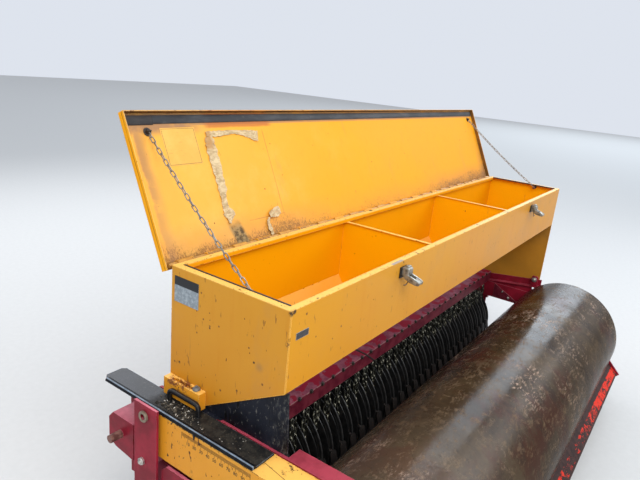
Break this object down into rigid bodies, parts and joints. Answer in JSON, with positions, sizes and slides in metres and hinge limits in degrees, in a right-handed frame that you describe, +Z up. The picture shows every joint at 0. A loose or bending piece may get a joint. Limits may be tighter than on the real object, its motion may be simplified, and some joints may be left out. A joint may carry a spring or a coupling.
{
  "type": "grass overseeder seed drill",
  "caption": "Mounted grass overseeder with a long open-lidded hopper over a row of hung double discs, a smooth rear roller, a three-point headstock and two parking stands",
  "frame": {"origin": "middle of the machine's box, on the ground", "axes": "X across the machine to its right, +Y forward to the tractor, +Z up"},
  "size_m": [2.939, 1.5106, 1.5909],
  "materials": {
    "yellow_paint": "weathered paint",
    "red_paint": "weathered paint",
    "roller_steel": "rust-stained, worn smooth",
    "disc_steel": "black with worn rims",
    "dirty_steel": "dirty",
    "zinc_steel": "zinc plated",
    "black_steel": "dark, scuffed",
    "black_rubber": "dull"
  },
  "bodies": {
    "frame": {"side_arm_left": "red_paint", "side_arm_right": "red_paint", "tool_beam": "red_paint", "chain_beam": "red_paint", "beam_brackets": "red_paint", "headstock_mast": "red_paint", "headstock_braces": "red_paint", "lower_link_plates": "red_paint", "lower_link_pins": "zinc_steel", "pivot_hangers": "red_paint", "pivot_bar": "dirty_steel", "element_arms": "dirty_steel", "discs": "disc_steel", "element_chains": "dirty_steel", "seed_tubes": "black_rubber", "metering_housing": "red_paint", "hopper_shell": "yellow_paint", "hopper_end_left": "yellow_paint", "hopper_end_right": "yellow_paint", "partitions": "yellow_paint", "hopper_supports": "red_paint", "hinge_rod": "dirty_steel", "hinge_leaves": "yellow_paint", "stay_chains": "zinc_steel", "latch_left": "zinc_steel", "latch_right": "zinc_steel", "blank_plates": "zinc_steel", "side_flap_left": "black_rubber", "side_panel_right": "yellow_paint", "side_rail_right": "red_paint", "roller_bearings": "disc_steel", "scraper_bar": "red_paint", "scraper_brackets": "red_paint", "side_plate_left": "red_paint", "drive_cover": "yellow_paint", "chain_case": "yellow_paint", "rate_slider": "black_steel", "slider_handle": "black_steel", "adjuster_box": "yellow_paint", "stand_carrier_left": "red_paint", "stand_carrier_right": "red_paint", "front_bracket_left": "red_paint", "front_bracket_right": "red_paint"},
    "roller": {"roller_drum": "roller_steel", "roller_ends": "dirty_steel"},
    "lid": {"lid": "yellow_paint", "lid_seal": "black_rubber"},
    "stand_left": {"stand_left": "red_paint"},
    "stand_right": {"stand_right": "red_paint"}
  },
  "joints": [
    {"name": "roller_spin", "type": "hinge", "parent": "frame", "child": "roller", "pos_m": [0, -0.38532, 0.313], "axis": [1, 0, 0], "continuous": true},
    {"name": "lid_hinge", "type": "hinge", "parent": "frame", "child": "lid", "pos_m": [0, 0.25968, 1.179], "axis": [1, 0, 0], "range_deg": [0, 115], "deforming": ["stay_chains"]},
    {"name": "stand_left_slide", "type": "slide", "parent": "frame", "child": "stand_left", "axis": [0, 0, 1], "range_m": [0, 0.3]},
    {"name": "stand_right_slide", "type": "slide", "parent": "frame", "child": "stand_right", "axis": [0, 0, 1], "range_m": [0, 0.3]}
  ]
}
